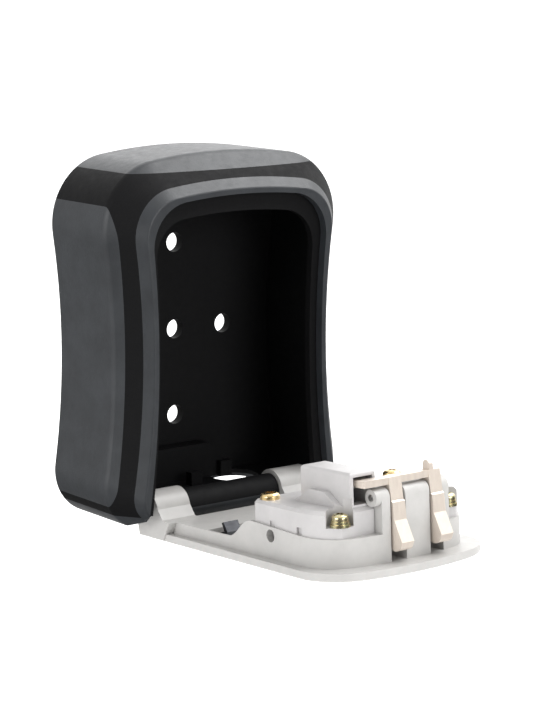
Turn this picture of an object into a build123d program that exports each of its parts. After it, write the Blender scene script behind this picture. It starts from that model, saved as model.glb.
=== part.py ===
from build123d import *
import math
import os

# A wall-mounted key lock box, standing with its door folded down on the bottom hinge.
# Origin: the middle wall screw hole, on the flat back. +X right, +Z up, +Y into the wall.

os.makedirs("parts", exist_ok=True)

# ---- driving dimensions, mm ----
HEIGHT = 115.0
MID_Z = 1.8  # mid height of the housing above the middle screw hole
HALF_WIDTH = 41.6  # at mid height, where the sides bow in
SIDE_BOW = 0.0019  # extra half width per mm squared of height from the middle
TOP_CROWN = 0.0027  # drop of the top per mm squared from the centre line
RIM_DEPTH = 39.2  # wall to the rim round the door
SIDE_DEPTH = 29.0  # wall to the start of the sloping frame
FRAME_SLOPE = 8.6  # how far the frame leans in at the sides
FRAME_SLOPE_TOP = 10.9
FRAME_SLOPE_BOTTOM = 4.4
TOP_RADIUS = 21.0
BOTTOM_RADIUS = 15.0

RIM = 1.6  # flat rim round the recess
RECESS = 3.0  # depth of the recess that takes the door flange
RECESS_TOP = 44.9
LAND_TOP = 39.4  # lower edge of the ledge that the latch fingers catch
LAND_HALF = 28.9
LIP = 2.4  # thickness of that ledge
BACK = 3.2
WALL = 4.6
FLOOR_TOP = -50.6
FLOOR = 2.2

HOLE_RADIUS = 3.1  # mounting screw holes
HOLE_RISE = 28.0  # upper and lower holes from the middle one
HOLE_SIDE = 19.0  # side holes from the middle one

HINGE_Y = -30.2
HINGE_Z = MID_Z - 51.6
PIN_RADIUS = 2.0
PIN_HALF = 30.0
BARREL_RADIUS = 4.8
BARREL_HALF = 17.6
KNUCKLE_RADIUS = 6.0
KNUCKLE_INNER = 18.0
KNUCKLE_OUTER = 30.2

REST_TILT = 3.5  # how far short of square the open door stops, degrees
OUTER_FACE = 8.8  # hinge axis to the door's outer face
FLANGE = 2.5
PLATEAU = 6.1  # height of the low part of the door near the hinge
SEAM = 12.3  # height where the lock cover sits on the raised wall, at the rise
SEAM_DROP = 1.5  # how much lower the seam is at the cover's free end
TIER = 18.7  # top of the cover's lower tier
TOWER_TOP = 28.8
DOOR_END = 94.2  # hinge axis to the free end of the flange
BLOCK_END = 87.5  # hinge axis to the end block's face
POST_TOP = 23.9
COVER_START = 49.6
COVER_END = 83.8
COVER_NEAR_HALF = 27.0
COVER_HALF = 27.9

PIN_V = 84.6  # latch pin
PIN_R = 21.2
LATCH_PIN_RADIUS = 1.1
FINGER_LEFT = (-6.0, 9.0)  # left edges of the two fingers
FINGER_WIDTH = 4.6
SLOT_GAP = 0.5
SLOT_BACK = 79.4

DIAL_V = 59.0
DIAL_R = 9.2
DIAL_RADIUS = 7.8
DIAL_WIDTH = 5.6
DIAL_PITCH = 7.4
DIAL_X = tuple(DIAL_PITCH * (i - 1.5) for i in range(4))
SHAFT_RADIUS = 1.5
SLEEVE_RADIUS = 5.2
SLEEVE_BORE = 1.56

CHANNEL_START = 8.6  # shutter channel in the outer face
CHANNEL_END = 77.9
CHANNEL_HALF = 19.4
CHANNEL_DEPTH = 2.6
GROOVE_HALF = 20.7
SHUTTER_LENGTH = 33.8
SHUTTER_START = 43.7

TOWER_LEFT = -17.2
TOWER_RIGHT = -7.9
TOWER_START = 60.5
TOWER_END = 82.6
ROD_X = -12.4
SCREW_FRONT = (20.3, 81.5)
SCREW_REAR = (23.4, 53.6)


# ---- planes ----
def front(y):
    """Upright plane at depth y, normal out of the box, sketch origin at mid height."""
    return Plane(origin=(0, y, MID_Z), x_dir=(1, 0, 0), z_dir=(0, -1, 0))


def floor_level(z):
    """Plane parallel to the floor, z above mid height."""
    return Plane.XY.offset(MID_Z + z)


tilt = math.radians(REST_TILT)
ALONG = Vector(0, -math.cos(tilt), math.sin(tilt))  # hinge towards the door's free end
INWARD = Vector(0, math.sin(tilt), math.cos(tilt))  # out of the door's inner side
HINGE = Vector(0, HINGE_Y, HINGE_Z)


def door_point(x, v, r):
    """Point at x, at v along the door from the hinge axis and r above its outer face."""
    return HINGE + Vector(x, 0, 0) + ALONG * v + INWARD * (r - OUTER_FACE)


def level(r):
    """Plane parallel to the door, r above its outer face. Sketch y is minus v."""
    return Plane(origin=door_point(0, 0, r), x_dir=(1, 0, 0), z_dir=INWARD)


def side(x):
    """Plane square to X whose sketch axes are v and r."""
    return Plane(origin=door_point(x, 0, 0), x_dir=ALONG, z_dir=(-1, 0, 0))


def end(v):
    """Plane square to the door's length whose sketch axes are X and r."""
    return Plane(origin=door_point(0, v, 0), x_dir=(1, 0, 0), z_dir=ALONG)


def across(x, y=HINGE_Y, z=HINGE_Z):
    """Plane square to X with its origin at y, z, for pins along X."""
    return Plane(origin=(x, y, z), x_dir=(0, 1, 0), z_dir=(1, 0, 0))


def pin_plane(x, v, r):
    """Plane square to X, normal along +X, centred on a point of the door."""
    return Plane(origin=door_point(x, v, r), x_dir=(0, 1, 0), z_dir=(1, 0, 0))


# ---- outlines ----
def bowed(half, bow, z):
    return half + bow * z * z


def shield(half, bow, top, crown, bottom, top_radius, bottom_radius):
    """Outline with sides bowed in at mid height, a crowned top and a straight bottom."""
    top_x = bowed(half, bow, top)
    corner = (top_x, top - crown * top_x * top_x)
    foot = (bowed(half, bow, bottom), bottom)
    with BuildSketch() as outline:
        with BuildLine():
            ThreePointArc(foot, (half, 0), corner)
            ThreePointArc(corner, (0, top), (-corner[0], corner[1]))
            ThreePointArc((-corner[0], corner[1]), (-half, 0), (-foot[0], foot[1]))
            Line((-foot[0], foot[1]), foot)
        make_face()
        fillet(outline.vertices().group_by(Axis.Y)[-1], top_radius)
        if bottom_radius:
            fillet(outline.vertices().group_by(Axis.Y)[0], bottom_radius)
    return outline.sketch


def door_outline(near_half, far_half, start, stop, crown, radius, near_radius):
    """Door-shaped outline in sketch axes X and minus v, wider towards its crowned free end."""
    shoulder = stop - crown * far_half * far_half
    with BuildSketch() as outline:
        with BuildLine():
            Line((-near_half, -start), (near_half, -start))
            Line((near_half, -start), (far_half, -shoulder))
            ThreePointArc((far_half, -shoulder), (0, -stop), (-far_half, -shoulder))
            Line((-far_half, -shoulder), (-near_half, -start))
        make_face()
        fillet(outline.vertices().group_by(Axis.Y)[0], radius)
        fillet(outline.vertices().group_by(Axis.Y)[-1], near_radius)
    return outline.sketch


body_outline = shield(
    HALF_WIDTH, SIDE_BOW, HEIGHT / 2, TOP_CROWN, -HEIGHT / 2, TOP_RADIUS, BOTTOM_RADIUS
)
rim_outline = shield(
    HALF_WIDTH - FRAME_SLOPE,
    SIDE_BOW,
    HEIGHT / 2 - FRAME_SLOPE_TOP,
    TOP_CROWN,
    -HEIGHT / 2 + FRAME_SLOPE_BOTTOM,
    TOP_RADIUS - FRAME_SLOPE,
    BOTTOM_RADIUS - FRAME_SLOPE,
)
recess_outline = shield(
    HALF_WIDTH - FRAME_SLOPE - RIM, 0.0015, RECESS_TOP, TOP_CROWN, -HEIGHT / 2 - 3, 13.5, 0
)
land_outline = shield(LAND_HALF, 0.0012, LAND_TOP, 0.003, -HEIGHT / 2 - 3, 11.5, 0)
cavity_outline = shield(
    HALF_WIDTH - WALL, SIDE_BOW, HEIGHT / 2 - WALL - 3, TOP_CROWN, FLOOR_TOP, 14.0, 8.0
)

# ---- housing ----
BAY_HALF = 31.0  # the door's knuckles swing between the legs
BAY_BACK = 23.6
DRAIN = (17.0, -12.0, 8.0)  # round hole in the floor: x, y, radius
LEDGE_LEFT = -31.0
LEDGE_RIGHT = 15.5
LEDGE_FRONT = -9.0
LEDGE_TOP = -39.3

with BuildPart() as housing:
    with BuildSketch(front(0)):
        add(body_outline)
    extrude(amount=SIDE_DEPTH)
    with BuildSketch(front(-SIDE_DEPTH)):
        add(body_outline)
    with BuildSketch(front(-RIM_DEPTH)):
        add(rim_outline)
    loft(ruled=True)
    for depth, radius in ((0, 1.2), (SIDE_DEPTH, 3.0), (RIM_DEPTH, 0.7)):
        fillet(housing.edges().filter_by_position(Axis.Y, -depth - 0.01, -depth + 0.01), radius)
    # cavity, ledge opening and the recess for the door
    with BuildSketch(front(-BACK)):
        add(cavity_outline)
    extrude(amount=RIM_DEPTH - RECESS - LIP - BACK, mode=Mode.SUBTRACT)
    with BuildSketch(front(-RIM_DEPTH + RECESS + LIP + 1)):
        add(land_outline)
    extrude(amount=RECESS + LIP + 2, mode=Mode.SUBTRACT)
    with BuildSketch(front(-RIM_DEPTH + RECESS)):
        add(recess_outline)
    extrude(amount=RECESS + 1, mode=Mode.SUBTRACT)
    # bay where the hinge swings, and the hollow under the floor
    with BuildSketch(front(-BAY_BACK)):
        with Locations((0, -54)):
            Rectangle(2 * BAY_HALF, 20)
    extrude(amount=RIM_DEPTH, mode=Mode.SUBTRACT)
    for sign in (-1, 1):
        with BuildSketch(front(-BAY_BACK)):
            with Locations((sign * (BAY_HALF + 1.6), -HEIGHT / 2 + 1.0)):
                Rectangle(7.0, 7.0, rotation=45)
        extrude(amount=RIM_DEPTH, mode=Mode.SUBTRACT)
    with BuildSketch(front(1)):
        with Locations((0, FLOOR_TOP - FLOOR - 5)):
            Rectangle(2 * BAY_HALF, 10)
    extrude(amount=BAY_BACK + 5, mode=Mode.SUBTRACT)
    # hinge barrel on a web from the floor
    with BuildSketch(across(-BARREL_HALF)):
        Circle(BARREL_RADIUS)
    extrude(amount=2 * BARREL_HALF)
    with BuildSketch(front(-BAY_BACK)):
        with Locations((0, FLOOR_TOP - FLOOR / 2)):
            Rectangle(2 * BARREL_HALF, FLOOR)
    extrude(amount=BAY_BACK * -1 - HINGE_Y)
    with BuildSketch(across(-BARREL_HALF - 1)):
        Circle(PIN_RADIUS)
    extrude(amount=2 * BARREL_HALF + 2, mode=Mode.SUBTRACT)
    # moulded ledge low in the left of the cavity, and two stops on the floor
    with BuildSketch(front(-BACK + 0.5)):
        with BuildLine():
            Polyline(
                (LEDGE_LEFT, FLOOR_TOP - 0.5),
                (LEDGE_RIGHT, FLOOR_TOP - 0.5),
                (LEDGE_RIGHT, LEDGE_TOP - 6.5),
                (LEDGE_RIGHT - 6.5, LEDGE_TOP),
                (LEDGE_LEFT, LEDGE_TOP),
                close=True,
            )
        make_face()
    extrude(amount=-LEDGE_FRONT - BACK + 0.5)
    for x, y, rise in ((-1.0, -15.0, 4.2), (14.5, -9.8, 5.0)):
        with BuildSketch(floor_level(FLOOR_TOP - 0.5)):
            with Locations((x, y)):
                Rectangle(4.4, 3.0)
        extrude(amount=rise + 0.5)
    # round opening in the floor
    with BuildSketch(floor_level(FLOOR_TOP - FLOOR - 1)):
        with Locations(DRAIN[:2]):
            Circle(DRAIN[2])
    extrude(amount=FLOOR + 1.01, mode=Mode.SUBTRACT)
    # mounting holes through the back
    with BuildSketch(front(1)):
        with Locations(
            (0, -MID_Z),
            (0, HOLE_RISE - MID_Z),
            (0, -HOLE_RISE - MID_Z),
            (HOLE_SIDE, -MID_Z),
            (-HOLE_SIDE, -MID_Z),
        ):
            Circle(HOLE_RADIUS)
    extrude(amount=BACK + 2, mode=Mode.SUBTRACT)
housing.part.label = "housing"
export_step(housing.part, "parts/housing.step")

with BuildPart() as hinge_pin:
    with BuildSketch(across(-PIN_HALF)):
        Circle(PIN_RADIUS)
    extrude(amount=2 * PIN_HALF)
    chamfer(hinge_pin.edges(), 0.4)
hinge_pin.part.label = "hinge_pin"
export_step(hinge_pin.part, "parts/hinge_pin.step")

# ---- door panel ----
DECK = 5.0  # inner surface of the door plate under the lock works
POCKET_START = 50.3
POCKET_END = 77.9
RUN = 0.35  # clearance round things that turn or slide
POST_LEFT = -9.4
POST_RIGHT = 17.0
POST_START = 79.0
POST_GAP = 0.2  # round the posts where they stand through the cover
PIN_BOSS_RADIUS = 2.5
PIN_BOSS_LENGTH = 2.0
LEVER_RECESS = (-26.8, -11.6, 27.0, 54.6)  # left, right, hinge end and free end
LEVER_FLOOR = 3.8
RISE_START = 37.0
BOSS_RADIUS = 3.2
THREAD_FRONT = 1.5
THREAD_REAR = 1.4
BUTTON_START = 68.2
RISER_START = 69.5
RISER_LENGTH = 4.0
RISER_WIDTH = 3.0
RELEASE_TRAVEL = 1.2

flange_outline = door_outline(29.2, 32.2, -5.0, DOOR_END, 0.006, 15.5, 5.0)
block_outline = door_outline(27.2, 28.3, 7.5, BLOCK_END, 0.0055, 13.0, 3.0)
pocket_outline = door_outline(24.6, 25.2, POCKET_START, POCKET_END, 0.0005, 5.0, 1.5)


def cut_along_x(profile, x_low, x_high):
    """Cut a v, r profile out of the part being built, from x_low to x_high."""
    extrude(side(x_high) * profile, amount=x_high - x_low, mode=Mode.SUBTRACT)


def box_profile(v_low, v_high, r_low, r_high):
    with BuildSketch() as profile:
        with Locations(((v_low + v_high) / 2, (r_low + r_high) / 2)):
            Rectangle(v_high - v_low, r_high - r_low)
    return profile.sketch


with BuildSketch() as rise_profile:
    with BuildLine():
        Polyline((0, 40), (0, PLATEAU), (RISE_START, PLATEAU))
        Spline((RISE_START, PLATEAU), (POCKET_START, SEAM), tangents=((1, 0), (1, 0)))
        Polyline(
            (POCKET_START, SEAM), (COVER_END, SEAM - SEAM_DROP), (100, SEAM - SEAM_DROP), (100, 40), (0, 40)
        )
    make_face()

with BuildPart() as door_panel:
    with BuildSketch(level(0)):
        add(flange_outline)
    extrude(amount=FLANGE)
    chamfer(door_panel.edges().group_by(Axis(tuple(HINGE), tuple(INWARD)))[0], 0.5)
    with BuildSketch(level(FLANGE)):
        add(block_outline)
    extrude(amount=POST_TOP - FLANGE)
    # low part near the hinge, S-shaped rise to the seam, and the posts of the end block
    cut_along_x(rise_profile.sketch, -40, POST_LEFT)
    cut_along_x(rise_profile.sketch, POST_RIGHT, 40)
    cut_along_x(rise_profile.sketch & box_profile(0, POST_START, 0, 50), POST_LEFT, POST_RIGHT)
    posts_top = door_panel.faces().sort_by(Axis(tuple(HINGE), tuple(INWARD)))[-1]
    fillet(posts_top.edges().sort_by(Axis(tuple(HINGE), tuple(ALONG)))[-1], 3.0)
    # pocket for the lock works
    with BuildSketch(level(DECK)):
        add(pocket_outline)
    extrude(amount=SEAM, mode=Mode.SUBTRACT)
    # finger slots
    for left in FINGER_LEFT:
        cut_along_x(
            box_profile(SLOT_BACK, 100, FLANGE, 40),
            left - SLOT_GAP,
            left + FINGER_WIDTH + SLOT_GAP,
        )
    # boss for the latch pin's near end, and its bore through the posts
    with BuildSketch(pin_plane(POST_LEFT - PIN_BOSS_LENGTH, PIN_V, PIN_R)):
        Circle(PIN_BOSS_RADIUS)
    extrude(amount=PIN_BOSS_LENGTH)
    with BuildSketch(pin_plane(POST_LEFT - PIN_BOSS_LENGTH - 1.0, PIN_V, PIN_R)):
        Circle(LATCH_PIN_RADIUS)
    extrude(amount=POST_RIGHT - POST_LEFT + PIN_BOSS_LENGTH, mode=Mode.SUBTRACT)
    # knuckles, then room for the housing's barrel
    for low, high in ((-KNUCKLE_OUTER, -KNUCKLE_INNER), (KNUCKLE_INNER, KNUCKLE_OUTER)):
        with BuildSketch(pin_plane(low, 0, OUTER_FACE)):
            Circle(KNUCKLE_RADIUS)
        extrude(amount=high - low)
        with BuildSketch(side(high)):
            with BuildLine():
                Polyline(
                    (-4.5, 0.6),
                    (8.0, 0.6),
                    (11.5, PLATEAU),
                    (8.2, PLATEAU + 0.6),
                    (5.9, OUTER_FACE + 1.0),
                    (-5.9, OUTER_FACE - 1.0),
                    close=True,
                )
            make_face()
        extrude(amount=high - low)
    with BuildSketch(pin_plane(-KNUCKLE_INNER, 0, OUTER_FACE)):
        Circle(BARREL_RADIUS + RUN + 0.25)
    extrude(amount=2 * KNUCKLE_INNER, mode=Mode.SUBTRACT)
    with BuildSketch(pin_plane(-40, 0, OUTER_FACE)):
        Circle(PIN_RADIUS + 0.06)
    extrude(amount=80, mode=Mode.SUBTRACT)
    # recess and passage for the reset lever
    with BuildSketch(level(LEVER_FLOOR)):
        with Locations(
            ((LEVER_RECESS[0] + LEVER_RECESS[1]) / 2, -(LEVER_RECESS[2] + LEVER_RECESS[3]) / 2)
        ):
            Rectangle(LEVER_RECESS[1] - LEVER_RECESS[0], LEVER_RECESS[3] - LEVER_RECESS[2])
    extrude(amount=SEAM, mode=Mode.SUBTRACT)
    # cheeks that carry the dial shaft, and bosses for the rear screws
    for low, high in ((-19.6, -17.4), (17.4, 19.6)):
        with BuildSketch(side(high)):
            with Locations((DIAL_V, (DECK + SEAM) / 2 - 0.6)):
                Rectangle(8.0, SEAM - DECK - 1.2)
        extrude(amount=high - low)
    for x in (-SCREW_REAR[0], SCREW_REAR[0]):
        with BuildSketch(level(SEAM - 4.7)):
            with Locations((x, -SCREW_REAR[1])):
                Circle(BOSS_RADIUS)
        extrude(amount=4.4)
    with BuildSketch(pin_plane(-40, DIAL_V, DIAL_R)):
        Circle(SHAFT_RADIUS)
    extrude(amount=40 + 19.8, mode=Mode.SUBTRACT)
    with BuildSketch(pin_plane(-40, DIAL_V, DIAL_R)):
        Circle(1.9)
    extrude(amount=16, mode=Mode.SUBTRACT)
    for x, v, radius in (
        (SCREW_FRONT[0], SCREW_FRONT[1], THREAD_FRONT),
        (SCREW_REAR[0], SCREW_REAR[1], THREAD_REAR),
    ):
        with BuildSketch(level(6.5)):
            with Locations((-x, -v), (x, -v)):
                Circle(radius)
        extrude(amount=8, mode=Mode.SUBTRACT)
    # channel with undercut grooves for the shutter, dial windows and the release slot
    cut_along_x(
        box_profile(CHANNEL_START, CHANNEL_END, -1, CHANNEL_DEPTH), -CHANNEL_HALF, CHANNEL_HALF
    )
    cut_along_x(
        box_profile(CHANNEL_START, CHANNEL_END, 1.2, CHANNEL_DEPTH), -GROOVE_HALF, GROOVE_HALF
    )
    for x in DIAL_X:
        cut_along_x(
            box_profile(DIAL_V - 7.0, DIAL_V + 7.0, 0, 8),
            x - DIAL_WIDTH / 2 - RUN,
            x + DIAL_WIDTH / 2 + RUN,
        )
    cut_along_x(
        box_profile(RISER_START - RUN, RISER_START + RISER_LENGTH + RELEASE_TRAVEL + RUN, 0, 8),
        ROD_X - RISER_WIDTH / 2 - RUN,
        ROD_X + RISER_WIDTH / 2 + RUN,
    )
door_panel.part.label = "door_panel"
export_step(door_panel.part, "parts/door_panel.step")

# ---- lock cover ----
COVER_WALL = 1.3
POCKET_FLOOR = 14.0
POCKET_RADIUS = 3.8
cover_block = door_outline(
    COVER_NEAR_HALF, COVER_HALF, COVER_START, BLOCK_END - 0.3, 0.0055, 13.0, 2.0
)
cover_inside = door_outline(
    COVER_NEAR_HALF - COVER_WALL, COVER_HALF - COVER_WALL, COVER_START + COVER_WALL,
    POST_START - COVER_WALL, 0.001, 6.0, 1.5
)
with BuildSketch() as tower_outline:
    with Locations(((TOWER_LEFT + TOWER_RIGHT) / 2, -(TOWER_START + TOWER_END) / 2)):
        Rectangle(TOWER_RIGHT - TOWER_LEFT, TOWER_END - TOWER_START)

with BuildPart() as lock_cover:
    with BuildSketch(level(SEAM - SEAM_DROP)):
        add(cover_block)
        with Locations((0, -COVER_END - 10)):
            Rectangle(80, 20, mode=Mode.SUBTRACT)
        with Locations(((POST_LEFT + POST_RIGHT) / 2, -POST_START - 10)):
            Rectangle(POST_RIGHT - POST_LEFT, 20, mode=Mode.SUBTRACT)
    extrude(amount=TIER - SEAM + SEAM_DROP)
    chamfer(lock_cover.edges().group_by(Axis(tuple(HINGE), tuple(INWARD)))[-1], 0.9)
    with BuildSketch(level(SEAM + 1)):
        add(tower_outline.sketch)
    extrude(amount=TOWER_TOP - SEAM - 1)
    fillet(lock_cover.edges().group_by(Axis(tuple(HINGE), tuple(INWARD)))[-1], 1.0)
    with BuildSketch(side(TOWER_LEFT + 0.5)):
        with BuildLine():
            Polyline(
                (TOWER_START, TIER - 1),
                (TOWER_START, TIER),
                (66.5, TIER + 4.0),
                (73.5, TIER + 4.0),
                (79.6, TIER),
                (79.6, TIER - 1),
                close=True,
            )
        make_face()
    extrude(amount=2.6)
    # hollow inside, with the tower open to it and its window at the free end
    with BuildSketch(level(SEAM - SEAM_DROP)):
        add(cover_inside)
    extrude(amount=TIER - SEAM + SEAM_DROP - 1.4, mode=Mode.SUBTRACT)
    with BuildSketch(level(SEAM + 0.8)):
        with Locations(((TOWER_LEFT + TOWER_RIGHT) / 2, -(TOWER_START + 71.2) / 2 - 5.4)):
            Rectangle(TOWER_RIGHT - TOWER_LEFT - 2.4, 14.6)
    extrude(amount=TOWER_TOP - SEAM - 2.1, mode=Mode.SUBTRACT)
    cut_along_x(
        box_profile(70.0, 90, TIER + 0.8, TOWER_TOP - 1.3), TOWER_LEFT + 1.2, TOWER_RIGHT - 1.0
    )
    # seats for the rear screws
    for x in (-SCREW_REAR[0], SCREW_REAR[0]):
        with BuildSketch(level(SEAM)):
            with Locations((x, -SCREW_REAR[1])):
                Circle(BOSS_RADIUS)
        extrude(amount=TIER - SEAM - 1)
    # columns with open pockets for the front screws, running out at the corners
    with BuildSketch(level(SEAM - SEAM_DROP)):
        add(cover_block)
        with Locations((-SCREW_FRONT[0], -SCREW_FRONT[1]), (SCREW_FRONT[0], -SCREW_FRONT[1])):
            Circle(POCKET_RADIUS + 1.4, mode=Mode.INTERSECT)
        with Locations((0, -COVER_END - 10)):
            Rectangle(80, 20, mode=Mode.SUBTRACT)
        with Locations((0, -80)):
            Rectangle(2 * (POST_RIGHT + POST_GAP), 40, mode=Mode.SUBTRACT)
    extrude(amount=TIER - SEAM + SEAM_DROP - 1)
    for sign in (-1, 1):
        with BuildSketch(level(POCKET_FLOOR)):
            with Locations((sign * (SCREW_FRONT[0] + 4), -SCREW_FRONT[1] - 4)):
                SlotCenterToCenter(8 * math.sqrt(2), 2 * POCKET_RADIUS, rotation=-sign * 45)
        extrude(amount=TIER - POCKET_FLOOR + 3, mode=Mode.SUBTRACT)
    for x, v, radius in (
        (SCREW_FRONT[0], SCREW_FRONT[1], THREAD_FRONT + 0.2),
        (SCREW_REAR[0], SCREW_REAR[1], THREAD_REAR + 0.2),
    ):
        with BuildSketch(level(SEAM - 3)):
            with Locations((-x, -v), (x, -v)):
                Circle(radius)
        extrude(amount=12, mode=Mode.SUBTRACT)
    # room for the posts, and for the latch pin's boss beside the first of them
    cut_along_x(
        box_profile(POST_START - POST_GAP, 100, 0, POST_TOP + POST_GAP),
        POST_LEFT - POST_GAP,
        POST_RIGHT + POST_GAP,
    )
    with BuildSketch(pin_plane(POST_LEFT - PIN_BOSS_LENGTH - 0.4, PIN_V, PIN_R)):
        Circle(PIN_BOSS_RADIUS + 0.3)
    extrude(amount=PIN_BOSS_LENGTH + 0.4, mode=Mode.SUBTRACT)
    # locating notches in the seam on the near side
    for v in (59.3, 72.0):
        cut_along_x(box_profile(v - 1.2, v + 1.2, SEAM - 2, SEAM + 1.2), -30, -COVER_HALF + 1.1)
    # the underside follows the sloping seam
    with BuildSketch() as below_seam:
        with BuildLine():
            Polyline(
                (COVER_START - 1, 0),
                (COVER_START - 1, SEAM),
                (POCKET_START, SEAM),
                (COVER_END, SEAM - SEAM_DROP),
                (COVER_END + 10, 0),
                close=True,
            )
        make_face()
    cut_along_x(below_seam.sketch, -40, 40)
lock_cover.part.label = "lock_cover"
export_step(lock_cover.part, "parts/lock_cover.step")


# ---- screws and washers ----
def pan_head(radius, height):
    """Half section of a pan head, turned about its sketch y axis."""
    with BuildSketch() as section:
        with BuildLine():
            Line((0, 0), (radius, 0))
            Line((radius, 0), (radius, height * 0.45))
            ThreePointArc(
                (radius, height * 0.45), (radius * 0.82, height * 0.86), (radius * 0.5, height)
            )
            Line((radius * 0.5, height), (0, height))
            Line((0, height), (0, 0))
        make_face()
    return section.sketch


def screw_pair(x, v, seat, head_radius, head_height, shank_radius, shank_end):
    """Two cross-slotted pan head screws, mirrored about the middle of the door."""
    section = pan_head(head_radius, head_height)
    with BuildPart() as pair:
        for place in (-x, x):
            base = door_point(place, v, seat)
            with BuildSketch(Plane(origin=base, x_dir=(1, 0, 0), z_dir=ALONG)):
                add(section)
            revolve(axis=Axis(tuple(base), tuple(INWARD)))
            with BuildSketch(Plane(origin=door_point(place, v, shank_end), x_dir=(1, 0, 0),
                                   z_dir=INWARD)):
                Circle(shank_radius)
            extrude(amount=seat - shank_end + 0.1)
            with BuildSketch(Plane(origin=door_point(place, v, seat + head_height - 0.9),
                                   x_dir=(1, 0, 0), z_dir=INWARD)):
                Rectangle(head_radius * 1.1, 0.8)
                Rectangle(0.8, head_radius * 1.1)
            extrude(amount=2, mode=Mode.SUBTRACT)
    return pair.part


def washer_pair(x, v, seat, outer, inner, thickness, split):
    """Two washers, mirrored about the middle of the door; split ones have a gap."""
    with BuildPart() as pair:
        with BuildSketch(level(seat)):
            with Locations((-x, -v), (x, -v)):
                Circle(outer)
                Circle(inner, mode=Mode.SUBTRACT)
            if split:
                with Locations((-x + outer, -v), (x + outer, -v)):
                    Rectangle(outer, 0.5, mode=Mode.SUBTRACT)
        extrude(amount=thickness)
    return pair.part


FLAT_THICKNESS = 0.8
SPRING_THICKNESS = 0.9
HEAD_SEAT = POCKET_FLOOR + FLAT_THICKNESS + SPRING_THICKNESS

cover_screws_front = screw_pair(*SCREW_FRONT, HEAD_SEAT, 2.5, 2.0, THREAD_FRONT, 8.0)
cover_screws_front.label = "cover_screws_front"
export_step(cover_screws_front, "parts/cover_screws_front.step")

spring_washers = washer_pair(
    *SCREW_FRONT, POCKET_FLOOR + FLAT_THICKNESS, 2.7, THREAD_FRONT + 0.1, SPRING_THICKNESS, True
)
spring_washers.label = "spring_washers"
export_step(spring_washers, "parts/spring_washers.step")

flat_washers = washer_pair(
    *SCREW_FRONT, POCKET_FLOOR, 3.0, THREAD_FRONT + 0.1, FLAT_THICKNESS, False
)
flat_washers.label = "flat_washers"
export_step(flat_washers, "parts/flat_washers.step")

cover_screws_rear = screw_pair(*SCREW_REAR, TIER, 2.9, 1.9, THREAD_REAR, 9.0)
cover_screws_rear.label = "cover_screws_rear"
export_step(cover_screws_rear, "parts/cover_screws_rear.step")

# ---- latch: bar, two fingers, ear and a tail into the tower ----
BAR_LOW = 24.6
BAR_HIGH = 26.6
BAR_BACK = 83.0
BAR_FRONT = 86.2
TAIL_BACK = 80.3
TAIL_TOP = 26.4
EAR = (9.7, 11.1)
FINGER_RIGHT_END = FINGER_LEFT[1] + FINGER_WIDTH

with BuildSketch() as finger_profile:
    with BuildLine():
        Polyline((BAR_BACK, BAR_HIGH), (BAR_FRONT, BAR_HIGH), (87.2, 20.0), (87.8, 19.6),
                 (88.3, 14.4), (91.4, 8.4), (90.7, 6.7))
        ThreePointArc((90.7, 6.7), (87.4, 5.6), (85.0, 8.0))
        Polyline((85.0, 8.0), (84.0, 13.5), (82.4, 19.0), (82.3, 22.8), (BAR_BACK, BAR_HIGH))
    make_face()

with BuildPart() as latch:
    for left in FINGER_LEFT:
        with BuildSketch(side(left + FINGER_WIDTH)):
            add(finger_profile.sketch)
        extrude(amount=FINGER_WIDTH)
    with BuildSketch(side(FINGER_RIGHT_END)):
        add(box_profile(BAR_BACK, BAR_FRONT, BAR_LOW, BAR_HIGH))
    extrude(amount=FINGER_RIGHT_END - (TOWER_LEFT + 2.2))
    with BuildSketch(side(TOWER_RIGHT - 1.8)):
        add(box_profile(TAIL_BACK, BAR_BACK + 1, BAR_LOW, TAIL_TOP))
    extrude(amount=TOWER_RIGHT - TOWER_LEFT - 4.0)
    with BuildSketch(side(EAR[1])):
        with Locations(((BAR_BACK + BAR_FRONT) / 2, BAR_HIGH)):
            Rectangle(BAR_FRONT - BAR_BACK - 0.2, 2.6)
        with Locations(((BAR_BACK + BAR_FRONT) / 2, BAR_HIGH + 1.3)):
            Circle((BAR_FRONT - BAR_BACK - 0.2) / 2)
    extrude(amount=EAR[1] - EAR[0])
    with BuildSketch(pin_plane(-20, PIN_V, PIN_R)):
        Circle(LATCH_PIN_RADIUS + 0.06)
    extrude(amount=40, mode=Mode.SUBTRACT)
latch.part.label = "latch"
export_step(latch.part, "parts/latch.step")

with BuildPart() as latch_pin:
    with BuildSketch(pin_plane(POST_LEFT - PIN_BOSS_LENGTH - 0.2, PIN_V, PIN_R)):
        Circle(LATCH_PIN_RADIUS)
    extrude(amount=POST_RIGHT - POST_LEFT + PIN_BOSS_LENGTH - 1.2)
    chamfer(latch_pin.edges(), 0.25)
latch_pin.part.label = "latch_pin"
export_step(latch_pin.part, "parts/latch_pin.step")


# ---- springs ----
def coil_along(start, length, radius, wire, pitch):
    """Open coil spring whose axis runs along the door from start."""
    path = Plane(origin=start, x_dir=(1, 0, 0), z_dir=ALONG) * Helix(pitch, length, radius)
    with BuildPart() as coil:
        with BuildSketch(Plane(origin=path @ 0, z_dir=path % 0)):
            Circle(wire)
        sweep(path=path)
    return coil.part


LATCH_SPRING_R = 14.5
latch_spring = coil_along(
    door_point(FINGER_LEFT[1] + FINGER_WIDTH / 2, SLOT_BACK + 0.4, LATCH_SPRING_R),
    3.2, 1.5, 0.25, 0.8,
)
latch_spring.label = "latch_spring"
export_step(latch_spring, "parts/latch_spring.step")

RELEASE_SPRING_R = 9.0
release_spring = coil_along(
    door_point(ROD_X, RISER_START + RISER_LENGTH + 0.35, RELEASE_SPRING_R), 3.7, 1.4, 0.25, 0.9
)
release_spring.label = "release_spring"
export_step(release_spring, "parts/release_spring.step")

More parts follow.
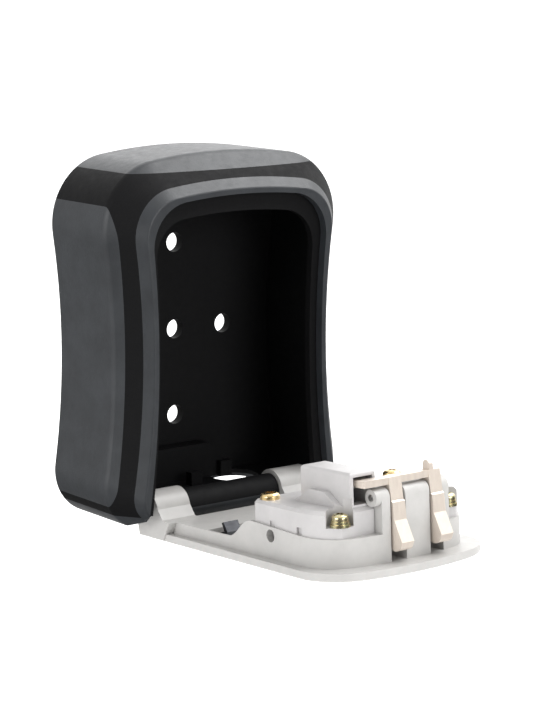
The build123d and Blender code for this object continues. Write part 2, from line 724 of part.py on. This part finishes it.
# ---- release: slider on the outer face, rod into the tower, and their screw ----
BUTTON_HALF = 15.0
BUTTON_LOW = 1.2
BUTTON_HIGH = 2.3
ROD_TOP = 26.2
NOSE = 79.8

with BuildPart() as open_slider:
    with BuildSketch(level(BUTTON_LOW)):
        with Locations((0, -BUTTON_START - 4)):
            RectangleRounded(2 * BUTTON_HALF, 8.0, 1.5)
    extrude(amount=BUTTON_HIGH - BUTTON_LOW)
    for v in (BUTTON_START + 1.6, BUTTON_START + 6.4):
        cut_along_x(box_profile(v - 0.4, v + 0.4, 0, BUTTON_LOW + 0.4), -11, 11)
    with BuildSketch(level(BUTTON_LOW)):
        with Locations((ROD_X, -RISER_START - RISER_LENGTH / 2)):
            Circle(1.5)
    extrude(amount=0.6, mode=Mode.SUBTRACT)
    with BuildSketch(level(BUTTON_LOW)):
        with Locations((ROD_X, -RISER_START - RISER_LENGTH / 2)):
            Circle(0.8)
    extrude(amount=3, mode=Mode.SUBTRACT)
open_slider.part.label = "open_slider"
export_step(open_slider.part, "parts/open_slider.step")

with BuildPart() as release_rod:
    with BuildSketch(side(ROD_X + RISER_WIDTH / 2)):
        with BuildLine():
            Polyline(
                (RISER_START, BUTTON_HIGH),
                (RISER_START + RISER_LENGTH, BUTTON_HIGH),
                (RISER_START + RISER_LENGTH, ROD_TOP - 4.0),
                (RISER_START + RISER_LENGTH + 1.6, ROD_TOP - 2.4),
                (NOSE, ROD_TOP - 2.4),
                (NOSE, ROD_TOP),
                (RISER_START, ROD_TOP),
                close=True,
            )
        make_face()
    extrude(amount=RISER_WIDTH)
    with BuildSketch(level(BUTTON_HIGH)):
        with Locations((ROD_X, -RISER_START - RISER_LENGTH / 2)):
            Circle(0.8)
    extrude(amount=5, mode=Mode.SUBTRACT)
release_rod.part.label = "release_rod"
export_step(release_rod.part, "parts/release_rod.step")

with BuildPart() as release_screw:
    with BuildSketch(level(BUTTON_LOW)):
        with Locations((ROD_X, -RISER_START - RISER_LENGTH / 2)):
            Circle(1.5)
    extrude(amount=0.6)
    with BuildSketch(level(BUTTON_LOW + 0.6)):
        with Locations((ROD_X, -RISER_START - RISER_LENGTH / 2)):
            Circle(0.8)
    extrude(amount=5)
    with BuildSketch(level(BUTTON_LOW)):
        with Locations((ROD_X, -RISER_START - RISER_LENGTH / 2)):
            Rectangle(2.2, 0.4)
    extrude(amount=0.3, mode=Mode.SUBTRACT)
release_screw.part.label = "release_screw"
export_step(release_screw.part, "parts/release_screw.step")

# ---- dials, code sleeves, shaft and detent spring ----
GRIPS = 10

for number, x in enumerate(DIAL_X, 1):
    with BuildPart() as dial:
        with BuildSketch(pin_plane(x - DIAL_WIDTH / 2, DIAL_V, DIAL_R)):
            Circle(DIAL_RADIUS)
            Circle(SLEEVE_RADIUS + 0.02, mode=Mode.SUBTRACT)
            with PolarLocations(DIAL_RADIUS + 0.35, GRIPS):
                Circle(0.9, mode=Mode.SUBTRACT)
        extrude(amount=DIAL_WIDTH)
    dial.part.label = f"dial_{number}"
    export_step(dial.part, f"parts/dial_{number}.step")

    with BuildPart() as sleeve:
        with BuildSketch(pin_plane(x - DIAL_WIDTH / 2 - 0.3, DIAL_V, DIAL_R)):
            Circle(SLEEVE_RADIUS)
            Circle(SLEEVE_BORE, mode=Mode.SUBTRACT)
            with Locations((0, SLEEVE_RADIUS)):
                Rectangle(1.6, 3.0, mode=Mode.SUBTRACT)
        extrude(amount=DIAL_WIDTH + 0.6)
    sleeve.part.label = f"sleeve_{number}"
    export_step(sleeve.part, f"parts/sleeve_{number}.step")

with BuildPart() as dial_shaft:
    with BuildSketch(pin_plane(-26.2, DIAL_V, DIAL_R)):
        Circle(SHAFT_RADIUS)
    extrude(amount=26.2 + 19.6)
    chamfer(dial_shaft.edges(), 0.3)
dial_shaft.part.label = "dial_shaft"
export_step(dial_shaft.part, "parts/dial_shaft.step")

DETENT_V = DIAL_V + DIAL_RADIUS + 0.5
with BuildPart() as detent_spring:
    with BuildSketch(end(DETENT_V)):
        with Locations((0, DECK + 1.2)):
            Rectangle(2 * 14.4, 2.4)
        with Locations(*((x, DECK + 5.0) for x in DIAL_X)):
            Rectangle(4.4, 8.0)
    extrude(amount=0.3)
detent_spring.part.label = "detent_spring"
export_step(detent_spring.part, "parts/detent_spring.step")

# ---- reset lever ----
LEVER_LOW = LEVER_FLOOR + 0.4
LEVER_THICK = 1.2
LEVER_LEFT = -26.4
LEVER_WIDTH = 9.8
LEVER_START = 30.0
LEVER_NECK = 49.8
LEVER_END = 54.0

with BuildPart() as reset_lever:
    with BuildSketch(level(LEVER_LOW)):
        with BuildLine():
            Polyline(
                (LEVER_LEFT, -LEVER_START - 1.5),
                (LEVER_LEFT + 2.5, -LEVER_START),
                (LEVER_LEFT + LEVER_WIDTH, -LEVER_START),
                (LEVER_LEFT + LEVER_WIDTH, -LEVER_NECK),
                (LEVER_LEFT + LEVER_WIDTH - 2.3, -LEVER_NECK),
                (LEVER_LEFT + LEVER_WIDTH - 2.3, -LEVER_END),
                (LEVER_LEFT + 2.3, -LEVER_END),
                (LEVER_LEFT + 2.3, -LEVER_NECK),
                (LEVER_LEFT, -LEVER_NECK),
                close=True,
            )
        make_face()
    extrude(amount=LEVER_THICK)
    with BuildSketch(side(LEVER_LEFT + LEVER_WIDTH - 1.0)):
        with BuildLine():
            Polyline(
                (LEVER_START + 0.2, LEVER_LOW + 0.5),
                (LEVER_START - 1.4, LEVER_LOW + 3.6),
                (LEVER_START - 0.4, LEVER_LOW + 4.0),
                (LEVER_START + 1.6, LEVER_LOW + 1.0),
                close=True,
            )
        make_face()
    extrude(amount=LEVER_WIDTH - 4.5)
reset_lever.part.label = "reset_lever"
export_step(reset_lever.part, "parts/reset_lever.step")

# ---- shutter ----
SHUTTER_LOW = -1.2
SHUTTER_HIGH = 0.9
FOOT_LOW = 1.5
FOOT_HIGH = 2.3

with BuildPart() as shutter:
    with BuildSketch(level(SHUTTER_LOW)):
        with Locations((0, -SHUTTER_START - SHUTTER_LENGTH / 2)):
            RectangleRounded(2 * CHANNEL_HALF - 0.7, SHUTTER_LENGTH, 2.0)
    extrude(amount=SHUTTER_HIGH - SHUTTER_LOW)
    chamfer(shutter.edges().group_by(Axis(tuple(HINGE), tuple(INWARD)))[0], 0.6)
    for sign in (-1, 1):
        with BuildSketch(level(SHUTTER_HIGH)):
            with Locations((sign * 18.0, -SHUTTER_START - SHUTTER_LENGTH / 2)):
                Rectangle(1.9, SHUTTER_LENGTH - 5)
        extrude(amount=FOOT_HIGH - SHUTTER_HIGH)
        with BuildSketch(level(FOOT_LOW)):
            with Locations((sign * 18.7, -SHUTTER_START - SHUTTER_LENGTH / 2)):
                Rectangle(3.3, SHUTTER_LENGTH - 5)
        extrude(amount=FOOT_HIGH - FOOT_LOW)
    for v in (46.5, 48.7, 50.9):
        cut_along_x(box_profile(v - 0.5, v + 0.5, -5, SHUTTER_LOW + 0.5), -9, 9)
shutter.part.label = "shutter"
export_step(shutter.part, "parts/shutter.step")
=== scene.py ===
import math

import bmesh
import bpy
from mathutils import Matrix, Vector


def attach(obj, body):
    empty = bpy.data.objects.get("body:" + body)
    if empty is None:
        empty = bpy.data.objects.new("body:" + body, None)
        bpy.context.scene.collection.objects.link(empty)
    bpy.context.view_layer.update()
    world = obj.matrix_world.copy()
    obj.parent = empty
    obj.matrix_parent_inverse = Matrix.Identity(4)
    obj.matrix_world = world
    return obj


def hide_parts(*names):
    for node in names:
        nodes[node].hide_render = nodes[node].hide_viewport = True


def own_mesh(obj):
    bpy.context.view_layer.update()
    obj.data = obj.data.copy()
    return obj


# A wall-mounted key lock box with its door folded down, seen from the front left.
# Metres in the model's own frame: +X right, +Z up the wall, +Y into the wall.

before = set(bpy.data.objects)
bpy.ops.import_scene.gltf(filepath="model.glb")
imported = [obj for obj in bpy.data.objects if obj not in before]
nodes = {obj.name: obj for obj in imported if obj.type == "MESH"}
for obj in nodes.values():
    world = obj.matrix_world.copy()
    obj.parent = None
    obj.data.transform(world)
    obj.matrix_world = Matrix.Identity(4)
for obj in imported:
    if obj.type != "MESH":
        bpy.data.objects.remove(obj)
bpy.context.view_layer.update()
MM = 0.001


# ---- materials ----
def shader(name):
    """A new material, its node tree, its Principled shader and its object-space coordinates."""
    made = bpy.data.materials.new(name)
    made.use_nodes = True
    tree = made.node_tree
    principled = tree.nodes["Principled BSDF"]
    place = tree.nodes.new("ShaderNodeTexCoord")
    return made, tree, principled, place.outputs["Object"]


def noise(tree, where, size, detail=4.0, rough=0.6):
    """Noise whose features are about size metres across; its value."""
    texture = tree.nodes.new("ShaderNodeTexNoise")
    texture.inputs["Scale"].default_value = 1.0 / size
    texture.inputs["Detail"].default_value = detail
    texture.inputs["Roughness"].default_value = rough
    tree.links.new(where, texture.inputs["Vector"])
    return texture.outputs["Fac"]


def remap(tree, value, low, high, start=0.3, stop=0.7):
    """value between start and stop, carried over to low to high."""
    node = tree.nodes.new("ShaderNodeMapRange")
    node.inputs["From Min"].default_value = start
    node.inputs["From Max"].default_value = stop
    node.inputs["To Min"].default_value = low
    node.inputs["To Max"].default_value = high
    tree.links.new(value, node.inputs["Value"])
    return node.outputs["Result"]


def mix(tree, factor, first, second):
    """Colour that goes from first to second as factor goes from 0 to 1."""
    node = tree.nodes.new("ShaderNodeMix")
    node.data_type = "RGBA"
    for socket, colour in (("A", first), ("B", second)):
        target = next(s for s in node.inputs if s.name == socket and s.type == "RGBA")
        if isinstance(colour, tuple):
            target.default_value = (*colour, 1.0)
        else:
            tree.links.new(colour, target)
    tree.links.new(factor, node.inputs[0])
    return next(s for s in node.outputs if s.type == "RGBA")


def bump(tree, principled, height, strength, distance):
    node = tree.nodes.new("ShaderNodeBump")
    node.inputs["Strength"].default_value = strength
    node.inputs["Distance"].default_value = distance
    tree.links.new(height, node.inputs["Height"])
    tree.links.new(node.outputs["Normal"], principled.inputs["Normal"])


def finish_of(name, dark, light, rough, grain, grain_depth, metallic=0.0, patch=6 * MM, specular=0.5):
    """A surface that wanders between two tones and two roughnesses, with a fine grain."""
    made, tree, principled, where = shader(name)
    tone = noise(tree, where, patch)
    tree.links.new(mix(tree, remap(tree, tone, 0, 1), dark, light), principled.inputs["Base Color"])
    sheen = noise(tree, where, patch / 3, 6.0, 0.7)
    tree.links.new(remap(tree, sheen, *rough), principled.inputs["Roughness"])
    principled.inputs["Metallic"].default_value = metallic
    principled.inputs["Specular IOR Level"].default_value = specular
    bump(tree, principled, noise(tree, where, grain, 3.0, 0.5), 1.0, grain_depth)
    return made


def brushed(name, dark, light, rough, stretch, metallic=1.0):
    """Bare metal with streaks along the axis that stretch leaves small."""
    made, tree, principled, where = shader(name)
    scale = tree.nodes.new("ShaderNodeMapping")
    scale.inputs["Scale"].default_value = stretch
    tree.links.new(where, scale.inputs["Vector"])
    streak = noise(tree, scale.outputs["Vector"], 1.2 * MM, 5.0, 0.65)
    tree.links.new(mix(tree, remap(tree, streak, 0, 1), dark, light), principled.inputs["Base Color"])
    smear = noise(tree, where, 3 * MM)
    tree.links.new(remap(tree, smear, *rough), principled.inputs["Roughness"])
    principled.inputs["Metallic"].default_value = metallic
    bump(tree, principled, streak, 0.6, 0.02 * MM)
    return made


# the key space inside the housing, where painted shade darkens the coat
SIDE_BOW = 1.9  # extra half width per metre squared of height
CAVITY_HALF = 39.0 * MM
CAVITY_FRONT = -36.4 * MM
CAVITY_ROOF = 54.0 * MM
CAVITY_FLOOR = -50.0 * MM


def housing_paint():
    """Dark slate powder coat outside; inside the key space, painted shade makes it nearly black and dims
    its reflection.
    """
    made, tree, principled, where = shader("slate_powder_coat")
    split = tree.nodes.new("ShaderNodeSeparateXYZ")
    tree.links.new(where, split.inputs["Vector"])

    def calc(kind, first, second):
        node = tree.nodes.new("ShaderNodeMath")
        node.operation = kind
        for slot, value in enumerate((first, second)):
            if isinstance(value, float):
                node.inputs[slot].default_value = value
            elif value is not None:
                tree.links.new(value, node.inputs[slot])
        return node.outputs[0]

    across = calc("ABSOLUTE", split.outputs["X"], None)
    bow = calc("MULTIPLY", calc("MULTIPLY", split.outputs["Z"], split.outputs["Z"]), SIDE_BOW)
    inside = calc("LESS_THAN", calc("SUBTRACT", across, bow), CAVITY_HALF)
    behind_rim = calc("GREATER_THAN", split.outputs["Y"], CAVITY_FRONT)
    below_roof = calc("LESS_THAN", split.outputs["Z"], CAVITY_ROOF)
    above_floor = calc("GREATER_THAN", split.outputs["Z"], CAVITY_FLOOR)
    deep = calc("MULTIPLY", inside, behind_rim)
    # painted shade: this mask marks the deep key space, whose coat is made nearly black to stand in for the
    # shade inside the box
    painted_cavity_shade = calc("MULTIPLY", deep, calc("MULTIPLY", below_roof, above_floor))
    tone = remap(tree, noise(tree, where, 9 * MM), 0, 1)
    coat = mix(tree, tone, (0.016, 0.018, 0.021), (0.024, 0.027, 0.031))
    tree.links.new(mix(tree, painted_cavity_shade, coat, (0.004, 0.004, 0.0045)), principled.inputs["Base Color"])
    sheen = remap(tree, noise(tree, where, 2.5 * MM, 6.0, 0.7), 0.40, 0.52)
    tree.links.new(calc("ADD", sheen, calc("MULTIPLY", painted_cavity_shade, 0.2)), principled.inputs["Roughness"])
    # painted shade: weaker reflection inside the key space, also standing in for shade
    gloss = remap(tree, painted_cavity_shade, 0.5, 0.15, 0, 1)
    tree.links.new(gloss, principled.inputs["Specular IOR Level"])
    bump(tree, principled, noise(tree, where, 0.55 * MM, 3.0, 0.55), 0.8, 0.05 * MM)
    return made


def yellow_zinc():
    """Yellow passivated zinc, drifting to green and pink."""
    made, tree, principled, where = shader("yellow_zinc")
    drift = remap(tree, noise(tree, where, 1.6 * MM), 0, 1)
    hue = mix(tree, drift, (0.72, 0.58, 0.34), (0.56, 0.60, 0.36))
    pink = remap(tree, noise(tree, where, 0.9 * MM), 0, 0.6, 0.5, 0.75)
    tree.links.new(mix(tree, pink, hue, (0.86, 0.60, 0.48)), principled.inputs["Base Color"])
    tree.links.new(remap(tree, drift, 0.2, 0.32, 0, 1), principled.inputs["Roughness"])
    principled.inputs["Metallic"].default_value = 1.0
    bump(tree, principled, noise(tree, where, 0.3 * MM), 0.5, 0.01 * MM)
    return made


paint = {
    "housing": housing_paint(),
    "door": finish_of("door_casting", (0.400, 0.392, 0.380), (0.445, 0.436, 0.422), (0.36, 0.50),
                      0.5 * MM, 0.02 * MM),
    "cover": finish_of("cover_casting", (0.420, 0.410, 0.408), (0.465, 0.452, 0.450), (0.34, 0.46),
                       0.5 * MM, 0.015 * MM),
    "latch": brushed("nickel_plate", (0.66, 0.58, 0.51), (0.74, 0.66, 0.58), (0.28, 0.38),
                     (1, 1, 0.12), 0.45),
    "steel": brushed("bright_steel", (0.50, 0.50, 0.50), (0.66, 0.65, 0.64), (0.22, 0.40), (0.1, 1, 1)),
    "spring": brushed("spring_wire", (0.36, 0.36, 0.37), (0.52, 0.52, 0.52), (0.25, 0.40), (1, 1, 1)),
    "zinc": yellow_zinc(),
    "brass": brushed("brass_head", (0.72, 0.52, 0.24), (0.88, 0.69, 0.38), (0.18, 0.30), (1, 1, 1)),
    "sleeve": brushed("sleeve_brass", (0.58, 0.45, 0.22), (0.72, 0.58, 0.32), (0.28, 0.42), (0.1, 1, 1)),
    "lever": brushed("dark_lever", (0.035, 0.036, 0.040), (0.055, 0.056, 0.060), (0.30, 0.45), (0.1, 1, 1)),
    "plastic": finish_of("black_plastic", (0.012, 0.012, 0.013), (0.022, 0.022, 0.024), (0.42, 0.58),
                         0.35 * MM, 0.02 * MM),
    "dial": finish_of("dial_plastic", (0.016, 0.016, 0.018), (0.028, 0.028, 0.030), (0.30, 0.42),
                      0.3 * MM, 0.01 * MM),
    "ink": finish_of("white_ink", (0.78, 0.78, 0.76), (0.86, 0.86, 0.84), (0.45, 0.60),
                     0.2 * MM, 0.005 * MM),
}
DIALS = [f"dial_{i}" for i in range(1, 5)]
SLEEVES = [f"sleeve_{i}" for i in range(1, 5)]
worn_by = {
    "housing": ["housing"],
    "door": ["door_panel"],
    "cover": ["lock_cover"],
    "latch": ["latch"],
    "steel": ["hinge_pin", "latch_pin", "dial_shaft", "release_rod", "release_screw"],
    "spring": ["latch_spring", "release_spring", "detent_spring"],
    "zinc": ["cover_screws_front", "spring_washers", "flat_washers"],
    "brass": ["cover_screws_rear"],
    "sleeve": SLEEVES,
    "lever": ["reset_lever"],
    "plastic": ["open_slider", "shutter"],
    "dial": DIALS,
}
for finish, names in worn_by.items():
    for name in names:
        nodes[name].data.materials.clear()
        nodes[name].data.materials.append(paint[finish])

# ---- places on the open door ----
TILT = math.radians(3.5)  # how far short of square the door stops
ALONG = Vector((0, -math.cos(TILT), math.sin(TILT)))
INWARD = Vector((0, math.sin(TILT), math.cos(TILT)))
ACROSS = Vector((1, 0, 0))
HINGE = Vector((0, -30.2 * MM, -49.8 * MM))
OUTER_FACE = 8.8


def door_point(x, v, r):
    """Point at x, v along the door from the hinge and r above its outer face, in mm."""
    return HINGE + Vector((x * MM, 0, 0)) + ALONG * v * MM + INWARD * (r - OUTER_FACE) * MM


# ---- digits round the dials ----
DIAL_AXIS = door_point(0, 59.0, 9.2)
DIAL_RADIUS = 7.8 * MM
DIAL_PITCH = 7.4 * MM
DIGIT_SIZE = 3.51 * MM
DIGIT_LIFT = 0.02 * MM
DIGITS = 10


def digit_shape(value):
    """Flat mesh of one digit, centred on its own origin."""
    curve = bpy.data.curves.new(f"digit_{value}", "FONT")
    curve.body = str(value)
    curve.size = DIGIT_SIZE
    curve.align_x = "CENTER"
    curve.align_y = "CENTER"
    writer = bpy.data.objects.new(f"digit_{value}", curve)
    bpy.context.scene.collection.objects.link(writer)
    graph = bpy.context.evaluated_depsgraph_get()
    shape = bpy.data.meshes.new_from_object(writer.evaluated_get(graph))
    bpy.data.objects.remove(writer)
    return shape


digit_shapes = [digit_shape(value) for value in range(DIGITS)]
for place, dial in enumerate(DIALS):
    ring = bmesh.new()
    middle = DIAL_AXIS + Vector(((place - 1.5) * DIAL_PITCH, 0, 0))
    for value, shape in enumerate(digit_shapes):
        angle = math.radians(-90 + 360 / DIGITS * value)
        out = Vector((0, math.cos(angle), math.sin(angle)))
        turned = Matrix((ACROSS, out.cross(ACROSS), out)).transposed().to_4x4()
        copy = shape.copy()
        copy.transform(Matrix.Translation(middle + out * (DIAL_RADIUS + DIGIT_LIFT)) @ turned)
        ring.from_mesh(copy)
        bpy.data.meshes.remove(copy)
    band = bpy.data.meshes.new(f"{dial}_digits")
    ring.to_mesh(band)
    ring.free()
    band.materials.append(paint["ink"])
    digits = bpy.data.objects.new(f"{dial}_digits", band)
    bpy.context.scene.collection.objects.link(digits)
    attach(digits, dial)

# ---- coil springs along the door, built at one fixed length ----
COIL_STEPS = 24  # round one turn
COIL_TURNS = 4
WIRE_RADIUS = 0.25 * MM
WIRE_SIDES = 8
LATCH_SPRING = (11.3, 14.5)  # x and r of the coil's own axis
RELEASE_SPRING = (-12.4, 9.0)


def coil(name, start, length, radius):
    """Round wire wound about a line along the door."""
    rings = []
    shape = bmesh.new()
    for step in range(COIL_TURNS * COIL_STEPS + 1):
        turn = 2 * math.pi * step / COIL_STEPS
        out = ACROSS * math.cos(turn) + INWARD * math.sin(turn)
        centre = start + ALONG * length * step / (COIL_TURNS * COIL_STEPS) + out * radius
        ring = []
        for side in range(WIRE_SIDES):
            lean = 2 * math.pi * side / WIRE_SIDES
            outward = out * math.cos(lean) + ALONG * math.sin(lean)
            ring.append(shape.verts.new(centre + outward * WIRE_RADIUS))
        rings.append(ring)
    for near, far in zip(rings, rings[1:]):
        for side in range(WIRE_SIDES):
            after = (side + 1) % WIRE_SIDES
            shape.faces.new((near[side], near[after], far[after], far[side]))
    shape.faces.new(rings[0][::-1])
    shape.faces.new(rings[-1])
    bmesh.ops.recalc_face_normals(shape, faces=shape.faces)
    for face in shape.faces:
        face.smooth = True
    wound = bpy.data.meshes.new(name)
    shape.to_mesh(wound)
    shape.free()
    wound.materials.append(paint["spring"])
    made = bpy.data.objects.new(name, wound)
    bpy.context.scene.collection.objects.link(made)
    return made


def beside(place, v):
    """Point v along the door on the line that place gives by its x and r."""
    return door_point(place[0], v, place[1])


latch_coil = coil("latch_coil", beside(LATCH_SPRING, 79.8), 3.2 * MM, 1.5 * MM)
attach(latch_coil, "door")
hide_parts("latch_spring")
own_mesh(latch_coil)
release_coil = coil("release_coil", beside(RELEASE_SPRING, 73.85), 3.7 * MM, 1.4 * MM)
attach(release_coil, "door")
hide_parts("release_spring")
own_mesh(release_coil)

# ---- small radii on the castings, the latch and the shutter ----
EDGE_RADII = {"door_panel": 0.35, "lock_cover": 0.35, "latch": 0.3, "shutter": 0.2}
SHARP = math.radians(40)  # edges that turn less than this stay as they are
for name, width in EDGE_RADII.items():
    softened = nodes[name].modifiers.new("edges", "BEVEL")
    softened.width = width * MM
    softened.segments = 2
    softened.limit_method = "ANGLE"
    softened.angle_limit = SHARP

# ---- camera ----
TURN = math.radians(-37.96)
RISE = math.radians(10.54)
ROLL = math.radians(0.142)
DISTANCE = 716.5 * MM
MID_HEIGHT = Vector((0, -20 * MM, 1.8 * MM))
ASIDE = 20.19 * MM  # the object stands off the picture's middle by this much
ABOVE = -9.329 * MM
FOCAL_PIXELS = 2276
PICTURE_HEIGHT = 720

look = Vector((-math.sin(TURN) * math.cos(RISE), math.cos(TURN) * math.cos(RISE), -math.sin(RISE)))
level_right = Vector((math.cos(TURN), math.sin(TURN), 0))
level_up = level_right.cross(look)
right = level_right * math.cos(ROLL) + level_up * math.sin(ROLL)
up = level_up * math.cos(ROLL) - level_right * math.sin(ROLL)
camera = bpy.data.objects.new("camera", bpy.data.cameras.new("camera"))
bpy.context.scene.collection.objects.link(camera)
camera.data.lens = FOCAL_PIXELS * camera.data.sensor_width / PICTURE_HEIGHT
camera.data.clip_start = 0.01
camera.data.clip_end = 200
spot = MID_HEIGHT - look * DISTANCE + right * ASIDE + up * ABOVE
camera.matrix_world = Matrix.Translation(spot) @ Matrix((right, up, -look)).transposed().to_4x4()
bpy.context.scene.camera = camera

# ---- floor and light ----
FLOOR_DROP = 0.13
FLOOR_HALF = 40
floor_mesh = bpy.data.meshes.new("floor")
edit = bmesh.new()
bmesh.ops.create_grid(edit, x_segments=1, y_segments=1, size=FLOOR_HALF)
edit.to_mesh(floor_mesh)
edit.free()
floor = bpy.data.objects.new("floor", floor_mesh)
floor.location = (0, 0, -FLOOR_DROP)
bpy.context.scene.collection.objects.link(floor)
pale = finish_of("pale_floor", (0.93, 0.93, 0.93), (0.95, 0.95, 0.95), (0.8, 0.9), 4 * MM, 0.01 * MM,
                 patch=0.3, specular=0.1)
floor_mesh.materials.append(pale)
paper = pale.node_tree.nodes["Principled BSDF"]
paper.inputs["Emission Color"].default_value = (1, 1, 1, 1)
paper.inputs["Emission Strength"].default_value = 0.35
floor.visible_glossy = False


def softbox(name, place, aim, size, power, shine):
    """A round lamp; shine scales how much of it shows in glossy surfaces."""
    light = bpy.data.lights.new(name, "AREA")
    light.shape = "DISK"
    light.size = size
    light.energy = power
    light.specular_factor = shine
    lamp = bpy.data.objects.new(name, light)
    lamp.location = place
    lamp.rotation_euler = (Vector(aim) - Vector(place)).to_track_quat("-Z", "Y").to_euler()
    bpy.context.scene.collection.objects.link(lamp)


softbox("key_above", (0.66, -0.29, 0.89), (0, -0.05, 0), 0.9, 12.0, 1.0)
softbox("fill_left", (-1.4, -0.2, 0.35), (0, -0.08, 0), 0.9, 8.0, 0.1)
softbox("fill_front", (0.1, -1.5, 0.3), (0, -0.08, -0.04), 0.9, 9.0, 0.05)

# a studio that is bright above and behind, and dark low in front
world = bpy.data.worlds.new("studio")
world.use_nodes = True
bpy.context.scene.world = world
sky = world.node_tree
toward = sky.nodes.new("ShaderNodeTexCoord")


def facing(direction, start, stop, low, high):
    """low to high as the view direction turns towards the given one."""
    dot = sky.nodes.new("ShaderNodeVectorMath")
    dot.operation = "DOT_PRODUCT"
    dot.inputs[1].default_value = Vector(direction).normalized()
    sky.links.new(toward.outputs["Generated"], dot.inputs[0])
    return remap(sky, dot.outputs["Value"], low, high, start, stop)


def total(first, second):
    node = sky.nodes.new("ShaderNodeMath")
    sky.links.new(first, node.inputs[0])
    sky.links.new(second, node.inputs[1])
    return node.outputs[0]


overhead = facing((0.3, 0.1, 1), 0.2, 0.75, 0.15, 1.15)
behind_right = facing((0.6, 0.77, 0.18), 0.5, 0.95, 0, 1.6)
left_wall = facing((-1, 0.5, 0.1), 0.7, 0.98, 0, 0.9)
background = sky.nodes["Background"]
sky.links.new(total(total(overhead, behind_right), left_wall), background.inputs["Strength"])
background.inputs["Color"].default_value = (1, 1, 1, 1)
bpy.context.scene.view_settings.view_transform = "Standard"
